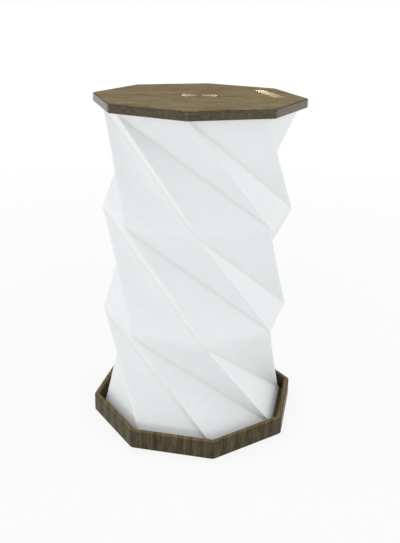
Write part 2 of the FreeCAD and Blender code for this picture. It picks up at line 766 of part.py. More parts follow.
def make_link_pins():
    """Square pins that join the light board to the control board."""
    out_x = "Sizes.cell_wide / 2 + Sizes.pin_gap"
    pins = []
    for name, side in (("plus", -0.5), ("minus", 0.5)):
        pin = block(f"{name}_pin", "Sizes.pin_side", "Sizes.pin_side", "Sizes.cell_thick")
        put(pin, out_x, f"{side} * Sizes.pin_pitch - Sizes.pin_side / 2")
        pins.append(pin)
    group("pins", pins, "link_pins", CELL_UNDER_Z, turned=True)


def make_light_board():
    """Round board that carries the diodes on its underside."""
    board = cylinder("light_board_blank", f"{CUP_BORE} - Sizes.lens_play", "Sizes.board_thick")
    keep(board, "light_board", LIGHT_BOARD_Z, turned=True)


def make_diodes():
    """A ring of light-emitting diodes, facing down."""
    near = "(Sizes.led_circle - Sizes.led_wide / 2)"
    half = "Sizes.led_long / 2"
    diodes = []
    for place in range(LED_COUNT):
        angle = 360 * (place + 0.5) / LED_COUNT
        diode = block(f"diode_{place}", "Sizes.led_wide", "Sizes.led_long", "Sizes.led_tall")
        diode.Placement.Rotation = FreeCAD.Rotation(Vector(0, 0, 1), angle)
        corner_x = f"{near} * cos({angle} deg) + {half} * sin({angle} deg)"
        corner_y = f"{near} * sin({angle} deg) - {half} * cos({angle} deg)"
        put(diode, corner_x, corner_y)
        diodes.append(diode)
    group("diodes", diodes, "light_diodes", f"{LIGHT_BOARD_Z} - Sizes.led_tall", turned=True)


def make_cup():
    """Moulded cup that closes the pocket: a flange, a round wall and a ledge inside."""
    body = new_body("cup")
    profile = new_sketch(body, "cup_profile", "XZ_Plane")
    ledge_top = f"{LIGHT_BOARD_Z} - ({CUP_LOW_Z})"
    ledge_low = f"{ledge_top} - Sizes.ledge_thick"
    ledge_in = f"{CUP_BORE} - Sizes.ledge_wide"
    under_flange = "Sizes.cup_depth - Sizes.flange_thick"
    outline = [
        (CUP_BORE, None),
        ("Sizes.cup_radius", None),
        ("Sizes.cup_radius", under_flange),
        ("Sizes.flange_radius", under_flange),
        ("Sizes.flange_radius", "Sizes.cup_depth"),
        (CUP_BORE, "Sizes.cup_depth"),
        (CUP_BORE, ledge_top),
        (ledge_in, ledge_top),
        (ledge_in, ledge_low),
        (CUP_BORE, ledge_low),
    ]
    draw_profile(profile, outline)
    add_turned(body, profile)

    bore = new_sketch(body, "screw_hole")
    bore_place = ring_place(SCREW_CIRCLE, SCREW_TURN)
    draw_circle(bore, "Sizes.screw_shank + Sizes.screw_play", *bore_place)
    cut = add_pocket(body, bore, along=True)
    add_ring_of(body, cut, SCREW_COUNT)
    keep(body, "lamp_cup", CUP_LOW_Z, turned=True)


def make_diffuser():
    """Opal cover with a skirt that meets the ledge of the cup."""
    body = new_body("lens")
    profile = new_sketch(body, "lens_profile", "XZ_Plane")
    skirt_top = f"{LIGHT_BOARD_Z} - Sizes.ledge_thick - ({CUP_LOW_Z})"
    edge = f"{CUP_BORE} - Sizes.lens_play"
    outline = [
        (None, None),
        (edge, None),
        (edge, skirt_top),
        (f"{edge} - Sizes.lens_skirt", skirt_top),
        (f"{edge} - Sizes.lens_skirt", "Sizes.lens_thick"),
        (None, "Sizes.lens_thick"),
    ]
    draw_profile(profile, outline)
    add_turned(body, profile)
    keep(body, "diffuser", CUP_LOW_Z, turned=True)


def make_magnet():
    """Round magnet on the light board, drawn to the steel disc when the lamp is folded."""
    magnet = cylinder("magnet_blank", "Sizes.magnet_radius", "Sizes.magnet_thick")
    keep(magnet, "catch_magnet", f"{LIGHT_BOARD_Z} - Sizes.magnet_thick")


def make_screws():
    """Flat-headed screws that hold the cup to the lid."""
    screws = []
    for place in range(SCREW_COUNT):
        screw = doc.addObject("Part::Fuse", f"screw_{place}")
        screw.Refine = True
        screw.Base = cylinder(f"screw_head_{place}", "Sizes.screw_head", "Sizes.screw_head_tall")
        screw.Tool = cylinder(f"screw_shank_{place}", "Sizes.screw_shank", "Sizes.screw_long")
        put(screw, *ring_place(SCREW_CIRCLE, SCREW_TURN + 360 * place / SCREW_COUNT))
        screws.append(screw)
    head_low_z = f"{LID_UNDER_Z} - Sizes.flange_thick - Sizes.screw_head_tall"
    group("screws", screws, "cup_screws", head_low_z, turned=True)


def check_and_export():
    """Stop on a failed feature or a bad solid, then write one file for each piece."""
    doc.recompute()
    for item in doc.Objects:
        failed = {"Invalid", "Error"} & set(item.State)
        assert not failed, f"{item.Name} failed: {item.State}"
    for piece in pieces:
        shape = piece.Shape
        assert not shape.isNull(), f"{piece.Label} has no shape"
        assert shape.isValid(), f"{piece.Label} is not valid"
        assert shape.Volume > 0, f"{piece.Label} has no volume"
    os.makedirs("parts", exist_ok=True)
    for piece in pieces:
        piece.Shape.exportStep(f"parts/{piece.Label}.step")
        print(f"{piece.Label}: {len(piece.Shape.Solids)} solid, {piece.Shape.Volume:.1f} mm3")


fill_sheet()
make_tray()
make_foot_pads()
make_strike_disc()
make_shade()
make_bands()
make_lid()
make_touch_disc()
make_inlay_plate()
make_control_board()
make_control_chips()
make_socket()
make_socket_tongue()
make_battery()
make_battery_wires()
make_link_pins()
make_light_board()
make_diodes()
make_cup()
make_diffuser()
make_magnet()
make_screws()
check_and_export()
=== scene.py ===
"""Looks of a folding table lamp: a pleated paper shade between a wooden tray and a wooden lid."""

import logging
import math
from collections.abc import Callable
from dataclasses import dataclass
from enum import Enum, StrEnum
from functools import cache, partial
from itertools import pairwise
from typing import Any, ClassVar

import bpy
import numpy as np
from mathutils import Matrix, Vector
from mathutils.bvhtree import BVHTree


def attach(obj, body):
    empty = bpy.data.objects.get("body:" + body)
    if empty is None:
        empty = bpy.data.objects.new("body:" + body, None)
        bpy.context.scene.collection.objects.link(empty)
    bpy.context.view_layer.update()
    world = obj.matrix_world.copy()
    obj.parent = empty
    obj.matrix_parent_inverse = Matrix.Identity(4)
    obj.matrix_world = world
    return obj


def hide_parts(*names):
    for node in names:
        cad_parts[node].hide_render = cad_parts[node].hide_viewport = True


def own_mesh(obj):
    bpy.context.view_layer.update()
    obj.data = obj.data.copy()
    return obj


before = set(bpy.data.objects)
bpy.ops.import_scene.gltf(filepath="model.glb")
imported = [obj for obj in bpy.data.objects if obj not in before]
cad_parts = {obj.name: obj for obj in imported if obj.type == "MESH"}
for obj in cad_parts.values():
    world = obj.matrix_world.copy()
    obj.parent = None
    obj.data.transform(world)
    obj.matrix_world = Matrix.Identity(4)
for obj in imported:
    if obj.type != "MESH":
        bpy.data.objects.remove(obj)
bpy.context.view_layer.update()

LOG = logging.getLogger("lamp")

MM = 0.001
SIDES = 8
SIDE_DEG = 360 / SIDES
TIERS = 3
# The viewer stands this far round from the tray's own front.
FACING_DEG = 11.822
# The lid, and all that hangs in it, sits this far round from the tray.
HEAD_DEG = 29.151
# A fold or corner that turns by more than this is shaded sharp.
SHARP_DEG = 50
# Nearly all values of a noise pattern lie between these.
WHOLE = (0.3, 0.7)
WHITE = "#FFFFFF"


class Body(Enum):
    """Moving bodies of the lamp that carry pieces made here."""

    BASE = "base"
    HEAD = "head"


class Brushing(Enum):
    """Ways a metal face is brushed."""

    ROUND = "round"
    STRAIGHT = "straight"


class Kind(StrEnum):
    """Kinds of shader node, by what they are here for."""

    SURFACE = "BsdfPrincipled"
    MATT = "BsdfDiffuse"
    SHINE = "Emission"
    SKY = "Background"
    MIX_SURFACE = "MixShader"
    OUTPUT = "OutputMaterial"
    SKY_OUTPUT = "OutputWorld"
    PLACE = "TexCoord"
    GEOMETRY = "NewGeometry"
    RAY = "LightPath"
    ATTRIBUTE = "Attribute"
    TANGENT = "Tangent"
    MAPPING = "Mapping"
    NOISE = "TexNoise"
    CELLS = "TexVoronoi"
    BEVEL = "Bevel"
    BUMP = "Bump"
    # Spreads a value: it takes the value, then from low to high, then to low and high.
    SPREAD = "MapRange"
    # Mixes two colours: it takes the second's share, then the first, then the second.
    MIX = "Mix"
    MATH = "Math"
    VECTOR = "VectorMath"
    XYZ = "SeparateXYZ"
    JOIN_XYZ = "CombineXYZ"


# Settings that a kind of node has everywhere.
ALWAYS = {Kind.MIX: {"data_type": "RGBA"}}
Node = bpy.types.Node
# Adds a node to the material at hand; see add_node.
AddNode = Callable[..., Node]
# What feeds each input of a shader, by its name.
Feeds = dict[str, Any]
# Faces of a mesh, by the numbers of their points.
Faces = list[tuple[int, ...]]
# The points of a mesh and its faces.
Shape = tuple[np.ndarray, Faces]
Pair = tuple[float, float]
Triple = tuple[float, float, float]


# ---- small helpers ----


def linear(hex_colour: str) -> tuple[float, ...]:
    """Turn an sRGB hex value to linear colour.

    Args:
        hex_colour: Six hex digits after a hash.

    Returns:
        Linear red, green and blue, and an alpha of 1.
    """
    channels = [int(hex_colour[i : i + 2], 16) / 255 for i in (1, 3, 5)]
    parts = [c / 12.92 if c <= 0.04045 else ((c + 0.055) / 1.055) ** 2.4 for c in channels]
    return (*parts, 1.0)


def scale_of(*sizes_mm: float) -> tuple[float, ...]:
    """Return the scale at which a pattern's cell has these sizes, in millimetres."""
    return tuple(1 / (size * MM) for size in sizes_mm)


def add_node(tree: bpy.types.NodeTree, kind: Kind, *feeds: Any, **named: Any) -> Node:
    """Add one shader node with its settings and links.

    Args:
        tree: Node tree that gets it.
        kind: Kind of node.
        feeds: What feeds the inputs in use, in their order: a value, a hex colour, an output,
            or a node whose first output in use does it.
        named: Settings of the node, and what feeds an input, by name.

    Returns:
        The new node.
    """
    node = tree.nodes.new(f"ShaderNode{kind}")
    named = ALWAYS.get(kind, {}) | named
    for name in [name for name in named if hasattr(node, name)]:
        setattr(node, name, named.pop(name))
    sockets = [socket for socket in node.inputs if socket.enabled]
    links = list(zip(sockets, feeds, strict=False))
    links += [(next(s for s in sockets if s.name == name), named[name]) for name in named]
    for socket, value in links:
        if isinstance(value, Node):
            value = next(output for output in value.outputs if output.enabled)
        if isinstance(value, bpy.types.NodeSocket):
            tree.links.new(value, socket)
        else:
            socket.default_value = linear(value) if isinstance(value, str) else value
    return node


def start_nodes(owner: bpy.types.Material | bpy.types.World) -> AddNode:
    """Give a material or world an empty node tree.

    Args:
        owner: The material or world.

    Returns:
        What adds a node to it.
    """
    owner.use_nodes = True
    owner.node_tree.nodes.clear()
    return partial(add_node, owner.node_tree)


def worn_edge(add: AddNode, width_mm: float) -> Node:
    """Find the edges, where hands and tables rub and where the walnut gets painted edge shade.

    Args:
        add: Adds a node.
        width_mm: How far the edge band reaches in from an edge, in millimetres.

    Returns:
        A node that gives 1 on an edge and 0 on a flat.
    """
    rounded = add(Kind.BEVEL, width_mm * MM, samples=4)
    flat = add(Kind.GEOMETRY).outputs["Normal"]
    alike = add(Kind.VECTOR, rounded, flat, operation="DOT_PRODUCT")
    return add(Kind.SPREAD, alike, 0.995, 0.9)


def turned(add: AddNode, turn_deg: float) -> Node:
    """Add a node that turns a piece's own coordinates as far round as its grain runs."""
    place = add(Kind.PLACE).outputs["Object"]
    return add(Kind.MAPPING, place, Rotation=(0.0, 0.0, -math.radians(turn_deg)))


def facing(x: float, y: float, z: float) -> Vector:
    """Turn a point given as right, away and up for the viewer into the lamp's own axes."""
    return Matrix.Rotation(math.radians(FACING_DEG), 3, "Z") @ Vector((x, y, z))


def round_point(radius: float, turn_deg: float, height: float) -> np.ndarray:
    """Return the point at a radius, a turn in degrees and a height."""
    turn = math.radians(turn_deg)
    return np.array([radius * math.cos(turn), radius * math.sin(turn), height])


def add_piece(name: str, shape: Shape) -> bpy.types.Object:
    """Put a named piece in the scene, shaded smooth.

    Args:
        name: Name of the piece.
        shape: Its points, in metres and in place, and its faces.

    Returns:
        The new object.
    """
    points, faces = shape
    mesh = bpy.data.meshes.new(name)
    mesh.from_pydata([tuple(p) for p in points], [], faces)
    mesh.validate()
    mesh.shade_smooth()
    piece = bpy.data.objects.new(name, mesh)
    bpy.context.scene.collection.objects.link(piece)
    return piece


# ---- finishes ----


@dataclass(frozen=True)
class Pattern:
    """Cloudy pattern, by the real size of its patches in millimetres, all ways or each way."""

    size_mm: float | Triple
    detail: int
    curl: float = 0.0

    def lay(self, add: AddNode, place: Any = None) -> Node:
        """Lay the pattern out.

        Args:
            add: Adds a node.
            place: The coordinates that it follows, or None for the piece's own.

        Returns:
            A node that gives the pattern.
        """
        if place is None:
            place = add(Kind.PLACE).outputs["Object"]
        at = add(Kind.MAPPING, place, Scale=scale_of(*np.broadcast_to(self.size_mm, 3)))
        return add(Kind.NOISE, at, Scale=1.0, Detail=self.detail, Distortion=self.curl)


@dataclass(frozen=True)
class Finish:
    """A surface finish, made into one material when it is first put on a piece."""

    name: str
    # How high its relief stands.
    relief_mm: ClassVar[float]

    @cache
    def make(self) -> bpy.types.Material:
        """Make this finish's material, the first time only.

        Returns:
            The material.
        """
        material = bpy.data.materials.new(self.name)
        add = start_nodes(material)
        feeds = self.feeds(add)
        feeds["Normal"] = add(Kind.BUMP, Height=feeds["Normal"], Distance=self.relief_mm * MM)
        add(Kind.OUTPUT, add(Kind.SURFACE, **feeds))
        return material

    def feeds(self, add: AddNode) -> Feeds:
        """Return what feeds each input of the surface shader, with a height for its normal."""
        raise NotImplementedError

    def put_on(self, piece: bpy.types.Object, slot: str) -> None:
        """Dress a piece in this finish.

        Args:
            piece: The piece to dress.
            slot: Name of the material slot that it stands for; not used.
        """
        piece.data.materials.clear()
        piece.data.materials.append(self.make())


@dataclass(frozen=True)
class OiledWalnut(Finish):
    """Solid black walnut, planed, sanded and rubbed with hard wax oil.

    The eye gets a grey-brown ground with darker growth rings, long fibres, short dark pores,
    a dead matt top and a silky low sheen on the sides. Faces that look up are painted lighter,
    partly walnut paled by the light and partly painted light. Hands have polished the edges,
    which are darkened with painted shade and some wear from hands.
    """

    grain_deg: float
    pith_mm: Pair
    # Bundles of fibres: along the grain, across it and down into the board. Real fibres are
    # far too fine to show, so a bundle is as thin as still shows.
    fibres: Pattern
    # Pores are 0.2 mm wide and some 7 mm long; here they are 0.5 mm wide.
    pores: Pattern = Pattern((7, 0.5, 0.5), 0)
    # Walnut rings are 2 to 4 mm wide. They sway by some rings, slowly along the grain.
    ring_mm: float = 3.4
    sway: Pattern = Pattern((120, 30, 30), 1)
    sway_rings: float = 2.6
    # How clearly rings, fibres, pores and the painted edge shade with its hand wear stand out
    # from the ground.
    ring_show: float = 0.4
    fibre_show: float = 0.75
    pore_show: float = 0.65
    handled_show: float = 0.8
    # How far in from an edge hands have rubbed and the painted edge shade reaches.
    rub_mm: float = 0.7
    # How much oil has built up on the sides, where it was wiped on last.
    film: float = 0.8
    matt: Pair = (0.58, 0.72)
    relief_mm = 0.03
    early: str = "#5A5038"
    late: str = "#342D1E"
    pore: str = "#1F1A12"
    # Faces that look up: walnut paled by the light, made lighter still with painted light.
    paled: str = "#AD9A79"
    # Edges: painted shade along the rounded edges, with some wear from hands.
    handled: str = "#2B2519"

    def feeds(self, add: AddNode) -> Feeds:
        """Lay rings round the pith, and fibres and pores along the grain.

        Faces that look up get painted light, and the edges get painted shade.

        Args:
            add: Adds a node.

        Returns:
            What feeds the surface shader.
        """
        board = turned(add, self.grain_deg)
        sway = self.sway.lay(add, board)
        fibres = self.fibres.lay(add, board)
        pores = add(Kind.SPREAD, self.pores.lay(add, board), 0.64, 0.76)

        pith = (0.0, self.pith_mm[0] * MM, self.pith_mm[1] * MM)
        off_pith = add(Kind.VECTOR, board, pith, operation="SUBTRACT")
        across = add(Kind.VECTOR, off_pith, (0, 1, 1), operation="MULTIPLY")
        away = add(Kind.VECTOR, across, operation="LENGTH")
        drift = add(Kind.MATH, sway, self.sway_rings, operation="MULTIPLY")
        rings = add(Kind.MATH, away, *scale_of(self.ring_mm), drift, operation="MULTIPLY_ADD")
        wave = add(Kind.MATH, rings, 1.0, operation="PINGPONG")
        late = add(Kind.SPREAD, wave, 0.1, 0.95, 0, self.ring_show, interpolation_type="SMOOTHSTEP")
        streaks = add(Kind.SPREAD, fibres, 0.32, 0.7, 0, self.fibre_show)
        tone = add(Kind.MATH, late, streaks, operation="ADD")

        # Faces that look up are painted lighter: partly walnut paled by the light, partly painted
        # light. Those that look aside keep a film of oil.
        up = add(Kind.XYZ, add(Kind.GEOMETRY).outputs["Normal"]).outputs["Z"]
        facing_up_share = add(Kind.SPREAD, up, 0.5, 0.95)
        light = add(Kind.MIX, facing_up_share, self.early, self.paled)
        dark = add(Kind.MIX, facing_up_share, self.late, self.early)
        ground = add(Kind.MIX, tone, light, dark)
        sunken = add(Kind.MATH, pores, self.pore_show, operation="MULTIPLY")
        pored = add(Kind.MIX, sunken, ground, self.pore)
        rub = worn_edge(add, self.rub_mm)
        # Darken the edges with painted shade, and some wear from hands.
        edge_shade_and_wear_share = add(Kind.MATH, rub, self.handled_show, operation="MULTIPLY")
        matt = add(Kind.SPREAD, fibres, *WHOLE, *self.matt)
        depth = add(Kind.MATH, fibres, 0.4, pores, operation="MULTIPLY_ADD")
        return {
            "Base Color": add(Kind.MIX, edge_shade_and_wear_share, pored, self.handled),
            "Roughness": add(Kind.MATH, rub, -0.1, matt, operation="MULTIPLY_ADD"),
            "IOR": 1.47,
            "Specular IOR Level": 0.0,
            "Coat Weight": add(Kind.SPREAD, up, 0.6, 0.2, 0, self.film),
            "Coat Roughness": 0.2,
            "Normal": add(Kind.MATH, 1.0, depth, operation="SUBTRACT"),
        }


@dataclass(frozen=True)
class FlashSpunPaper(Finish):
    """Flash-spun polyethylene paper, hot pressed smooth, then scored and folded.

    The eye gets a soft cool white with faint cloudy fibre swirls, a little light coming
    through from behind, a painted highlight along the burnished ridges and painted shade in
    the bruised scored valleys.
    """

    colour: str = "#F6F8F8"
    cloud: str = "#F3F4F3"
    # Painted shade for the valleys, with the scoring's bruise, and a painted highlight for the
    # ridges, with their burnish.
    bruise: str = "#EBECEA"
    burnish: str = "#F7F9F9"
    # Fibre bundles swirl about 1.3 mm wide and gather in clouds about 9 mm wide.
    clouds: Pattern = Pattern(9, 3, 1.2)
    swirls: Pattern = Pattern(1.3, 2, 2.5)
    # Single fibres are 0.005 mm thick; 0.45 mm is the finest that still shows.
    hairs: Pattern = Pattern(0.45, 2, 0.6)
    # How clearly clouds and swirls stand out, and the least that the painted shade in a valley
    # and the painted highlight on a ridge show.
    cloud_show: float = 0.6
    swirl_show: float = 0.35
    mark_show: float = 0.75
    matt: Pair = (0.64, 0.52)
    relief_mm = 0.016

    def feeds(self, add: AddNode) -> Feeds:
        """Lay cloudy fibres, and paint shade and highlights on the folds that the mesh marks.

        Args:
            add: Adds a node.

        Returns:
            What feeds the surface shader.
        """
        swirls, hairs = self.swirls.lay(add), self.hairs.lay(add)
        cloudy = add(Kind.SPREAD, self.clouds.lay(add), 0.35, 0.7, 0, self.cloud_show)
        swirled = add(Kind.SPREAD, swirls, 0.45, 0.7, 0, self.swirl_show)
        mottle = add(Kind.MATH, cloudy, swirled, operation="ADD")
        marked = add(Kind.MIX, mottle, self.colour, self.cloud)
        patchy = add(Kind.SPREAD, hairs, 0.35, 0.65, self.mark_show)
        valley, ridge = (
            add(Kind.ATTRIBUTE, attribute_name=fold).outputs["Fac"] for fold in ("valley", "ridge")
        )
        # Valleys get painted shade, with the scoring's bruise; ridges get a painted highlight, with
        # their burnish.
        for near, colour in ((valley, self.bruise), (ridge, self.burnish)):
            share = add(Kind.MATH, near, patchy, operation="MULTIPLY")
            marked = add(Kind.MIX, share, marked, colour)
        matt = add(Kind.SPREAD, swirls, 0.4, 0.7, *self.matt)
        return {
            "Base Color": marked,
            "Roughness": add(Kind.MATH, ridge, -0.05, matt, operation="MULTIPLY_ADD"),
            "IOR": 1.5,
            "Subsurface Weight": 0.12,
            "Subsurface Radius": (1.0, 0.96, 0.9),
            "Subsurface Scale": 0.8 * MM,
            "Sheen Weight": 0.05,
            "Normal": add(Kind.MATH, swirls, 0.7, hairs, operation="MULTIPLY_ADD"),
        }


@dataclass(frozen=True)
class BrushedCopper(Finish):
    """Solid copper, brushed with a fine belt or on a lathe, then lacquered.

    The eye gets a dull rosy metal whose highlight is drawn out by the brush lines.
    """

    brushing: Brushing
    colour: str
    dull: str
    # The lacquer dulls what the metal throws back along its face.
    grazing: str
    lay_deg: float = 0.0
    # Brush lines are about 0.05 mm apart; 0.3 mm is the finest that still shows.
    line_mm: float = 0.3
    # Straight lines run on for 14 mm, round ones for a good third of a radian.
    stroke_mm: float = 14.0
    strokes_per_radian: float = 1.6
    # Fingers leave smears about 6 mm wide.
    smears: Pattern = Pattern(6, 2)
    matt: Pair = (0.4, 0.5)
    relief_mm = 0.0015

    def lay(self, add: AddNode) -> tuple[Any, Any]:
        """Lay the brush lines out.

        Args:
            add: Adds a node.

        Returns:
            Coordinates that run along and across the lines, and the way they run.
        """
        if self.brushing is Brushing.ROUND:
            place = add(Kind.PLACE).outputs["Object"]
            parts = add(Kind.XYZ, place).outputs
            flat = add(Kind.VECTOR, place, (1, 1, 0), operation="MULTIPLY")
            radius = add(Kind.VECTOR, flat, operation="LENGTH")
            swing = add(Kind.MATH, parts["Y"], parts["X"], operation="ARCTAN2")
            across = add(Kind.MATH, radius, *scale_of(self.line_mm), operation="MULTIPLY")
            along = add(Kind.MATH, swing, self.strokes_per_radian, operation="MULTIPLY")
            way = add(Kind.TANGENT, direction_type="RADIAL", axis="Z")
            return add(Kind.JOIN_XYZ, across, along), way
        angle = math.radians(self.lay_deg)
        way = add(Kind.JOIN_XYZ, math.cos(angle), math.sin(angle))
        scale = scale_of(self.stroke_mm, self.line_mm, self.line_mm)
        return add(Kind.MAPPING, turned(add, self.lay_deg), Scale=scale), way

    def feeds(self, add: AddNode) -> Feeds:
        """Lay lines along the brushing, with the highlight stretched to suit.

        Args:
            add: Adds a node.

        Returns:
            What feeds the surface shader.
        """
        lines_at, way = self.lay(add)
        lines = add(Kind.NOISE, lines_at, Scale=1.0, Detail=3.0)
        tone = add(Kind.MIX, add(Kind.SPREAD, lines, 0.3, 0.75), self.colour, self.dull)
        touched = add(Kind.SPREAD, self.smears.lay(add), 0.5, 0.8, 0, 0.3)
        return {
            "Base Color": add(Kind.MIX, touched, tone, self.dull),
            "Metallic": 1.0,
            "Specular Tint": self.grazing,
            "Roughness": add(Kind.SPREAD, lines, *WHOLE, *self.matt),
            "Anisotropic": 0.6,
            "Anisotropic Rotation": 0.25,
            "Tangent": way,
            "Normal": lines,
        }


@dataclass(frozen=True)
class PlatedMetal(Finish):
    """Pressed or turned metal with a thin bright plating.

    The eye gets a cool metal with cloudy plating, fine tool marks and brighter rubbed edges.
    """

    colour: str
    cloud: str
    rough: float = 0.3
    # How much rougher a tool mark is than the rest.
    mark_rough: float = 0.15
    # Plating clouds are a few millimetres wide.
    clouds: Pattern = Pattern(3, 3, 0.8)
    # Tool marks are 0.05 mm apart; 0.25 mm is the finest that still shows close to.
    marks: Pattern = Pattern((5, 0.25, 0.25), 2)
    rub_mm: float = 0.4
    rub_show: float = 0.4
    relief_mm = 0.003
    bright: str = "#D6D8D9"

    def feeds(self, add: AddNode) -> Feeds:
        """Lay plating clouds and tool marks.

        Args:
            add: Adds a node.

        Returns:
            What feeds the surface shader.
        """
        marks = self.marks.lay(add)
        cloudy = add(Kind.SPREAD, self.clouds.lay(add), 0.35, 0.7)
        ground = add(Kind.MIX, cloudy, self.colour, self.cloud)
        rub = add(Kind.MATH, worn_edge(add, self.rub_mm), self.rub_show, operation="MULTIPLY")
        roughest = self.rough + self.mark_rough
        return {
            "Base Color": add(Kind.MIX, rub, ground, self.bright),
            "Metallic": 1.0,
            "Roughness": add(Kind.SPREAD, marks, *WHOLE, self.rough, roughest),
            "Normal": marks,
        }


@dataclass(frozen=True)
class MouldedPlastic(Finish):
    """Injection-moulded plastic or cast resin from a spark-eroded mould.

    The eye gets an even colour under a fine satin grain, shinier on its rubbed edges.
    """

    colour: str
    flow: str
    rough: float = 0.45
    glow: float = 0.0
    # How far below and above that the roughness of the grain goes.
    satin: Pair = (0.06, 0.08)
    # Spark grain is about 0.15 mm; 0.5 mm is the finest that still shows.
    grain: Pattern = Pattern(0.5, 2)
    # Flow marks are some 14 mm long and 5 mm deep.
    flow_marks: Pattern = Pattern((14, 14, 5), 2, 1.5)
    rub_mm: float = 0.5
    relief_mm = 0.008

    def feeds(self, add: AddNode) -> Feeds:
        """Lay satin grain over faint flow marks.

        Args:
            add: Adds a node.

        Returns:
            What feeds the surface shader.
        """
        grain = self.grain.lay(add)
        flowed = add(Kind.SPREAD, self.flow_marks.lay(add), 0.35, 0.7)
        below, above = self.satin
        satin = add(Kind.SPREAD, grain, *WHOLE, self.rough - below, self.rough + above)
        rub = worn_edge(add, self.rub_mm)
        return {
            "Base Color": add(Kind.MIX, flowed, self.colour, self.flow),
            "Roughness": add(Kind.MATH, rub, -0.15, satin, operation="MULTIPLY_ADD"),
            "IOR": 1.53,
            "Subsurface Weight": self.glow,
            "Subsurface Scale": 2 * MM,
            "Normal": grain,
        }


@dataclass(frozen=True)
class SiliconeRubber(Finish):
    """Die-cut silicone sheet with a dull skin.

    The eye gets a soft dark grey that has taken up specks of dust and lint.
    """

    colour: str = "#4A4B4B"
    dust: str = "#7B7A76"
    # Specks of lint are 0.4 mm wide, in smears of dust 2.6 mm wide.
    specks: Pattern = Pattern(0.4, 2)
    smears: Pattern = Pattern(2.6, 2)
    matt: Pair = (0.6, 0.78)
    relief_mm = 0.01

    def feeds(self, add: AddNode) -> Feeds:
        """Lay specks of dust, in smears, over a matt skin.

        Args:
            add: Adds a node.

        Returns:
            What feeds the surface shader.
        """
        specks, smears = self.specks.lay(add), self.smears.lay(add)
        speckled = add(Kind.SPREAD, specks, 0.5, 0.68)
        smeared = add(Kind.SPREAD, smears, 0.3, 0.8)
        dusty = add(Kind.MATH, speckled, smeared, operation="MULTIPLY")
        return {
            "Base Color": add(Kind.MIX, dusty, self.colour, self.dust),
            "Roughness": add(Kind.SPREAD, smears, *WHOLE, *self.matt),
            "IOR": 1.42,
            "Normal": specks,
        }


@dataclass(frozen=True)
class GreyBoard(Finish):
    """Pressed millboard, die-cut, with short fibres in its face.

    The eye gets a warm grey full of paler and darker flecks, and layers along its cut edge.
    """

    colour: str = "#B9B4A9"
    fleck: str = "#8D877B"
    layer: str = "#D2CDC2"
    # Flecks are about 1 mm long and layers 0.25 mm thick.
    flecks: Pattern = Pattern(1, 3, 1.5)
    layers: Pattern = Pattern((12, 12, 0.25), 2)
    matt: Pair = (0.75, 0.88)
    relief_mm = 0.02

    def feeds(self, add: AddNode) -> Feeds:
        """Lay flecks over thin layers.

        Args:
            add: Adds a node.

        Returns:
            What feeds the surface shader.
        """
        flecks = self.flecks.lay(add)
        tone = add(Kind.MIX, add(Kind.SPREAD, flecks, 0.45, 0.7), self.colour, self.fleck)
        layered = add(Kind.SPREAD, self.layers.lay(add), 0.4, 0.7, 0, 0.3)
        return {
            "Base Color": add(Kind.MIX, layered, tone, self.layer),
            "Roughness": add(Kind.SPREAD, flecks, *WHOLE, *self.matt),
            "IOR": 1.5,
            "Normal": flecks,
        }


@dataclass(frozen=True)
class CircuitBoard(Finish):
    """Glass-fibre laminate under screened solder mask, with copper tracks beneath it.

    The eye gets a semi-gloss lacquer through which tracks and round pads stand up.
    """

    mask: str
    track: str
    pad: str = "#D9C48A"
    # Pads and tracks keep to a 2.54 mm grid, as most circuit parts do.
    pitch_mm: float = 2.54
    # Roughness beside a track and on it.
    gloss: Pair = (0.34, 0.28)
    relief_mm = 0.04

    def feeds(self, add: AddNode) -> Feeds:
        """Lay square-cornered tracks, and pads at every other point of the grid.

        Args:
            add: Adds a node.

        Returns:
            What feeds the surface shader.
        """
        laid = turned(add, HEAD_DEG)
        flat = add(Kind.VECTOR, laid, (1, 1, 0), operation="MULTIPLY")
        grid = add(Kind.MAPPING, flat, Scale=scale_of(*[self.pitch_mm] * 3))
        ways = add(Kind.CELLS, grid, Scale=0.8, Randomness=0.75, distance="CHEBYCHEV")
        bands = add(Kind.MATH, ways, 0.22, operation="PINGPONG")
        tracks = add(Kind.SPREAD, bands, 0.1, 0.14)
        dots = add(Kind.CELLS, grid, Scale=0.5, Randomness=0.0)
        pads = add(Kind.SPREAD, dots, 0.14, 0.1)
        tone = add(Kind.MIX, tracks, self.mask, self.track)
        return {
            "Base Color": add(Kind.MIX, pads, tone, self.pad),
            "Metallic": add(Kind.MATH, pads, 0.9, operation="MULTIPLY"),
            "Roughness": add(Kind.SPREAD, tracks, 0, 1, *self.gloss),
            "IOR": 1.55,
            "Coat Weight": 0.3,
            "Coat Roughness": 0.15,
            "Normal": add(Kind.MATH, tracks, pads, operation="MAXIMUM"),
        }


@dataclass(frozen=True)
class FoilPouch(Finish):
    """Aluminium laminate, drawn over a flat cell and sealed at its ends.

    The eye gets a soft silver skin with long shallow creases, darkened with painted shade.
    """

    colour: str = "#C3C6C8"
    # Painted shade in the creases.
    crease: str = "#9EA3A6"
    # Creases are 3.5 mm apart and 12 mm long; the foil's own grain is 0.5 mm.
    creases: Pattern = Pattern((3.5, 12, 6), 3, 1.0)
    foil: Pattern = Pattern(0.5, 2)
    matt: Pair = (0.32, 0.45)
    relief_mm = 0.12

    def feeds(self, add: AddNode) -> Feeds:
        """Lay long creases over foil grain, with painted shade in them.

        Args:
            add: Adds a node.

        Returns:
            What feeds the surface shader.
        """
        laid = turned(add, HEAD_DEG)
        creases = self.creases.lay(add, laid)
        # Darken the creases with painted shade.
        crease_shade_share = add(Kind.SPREAD, creases, 0.4, 0.65)
        return {
            "Base Color": add(Kind.MIX, crease_shade_share, self.colour, self.crease),
            "Metallic": 1.0,
            "Roughness": add(Kind.SPREAD, self.foil.lay(add, laid), *WHOLE, *self.matt),
            "Normal": creases,
        }


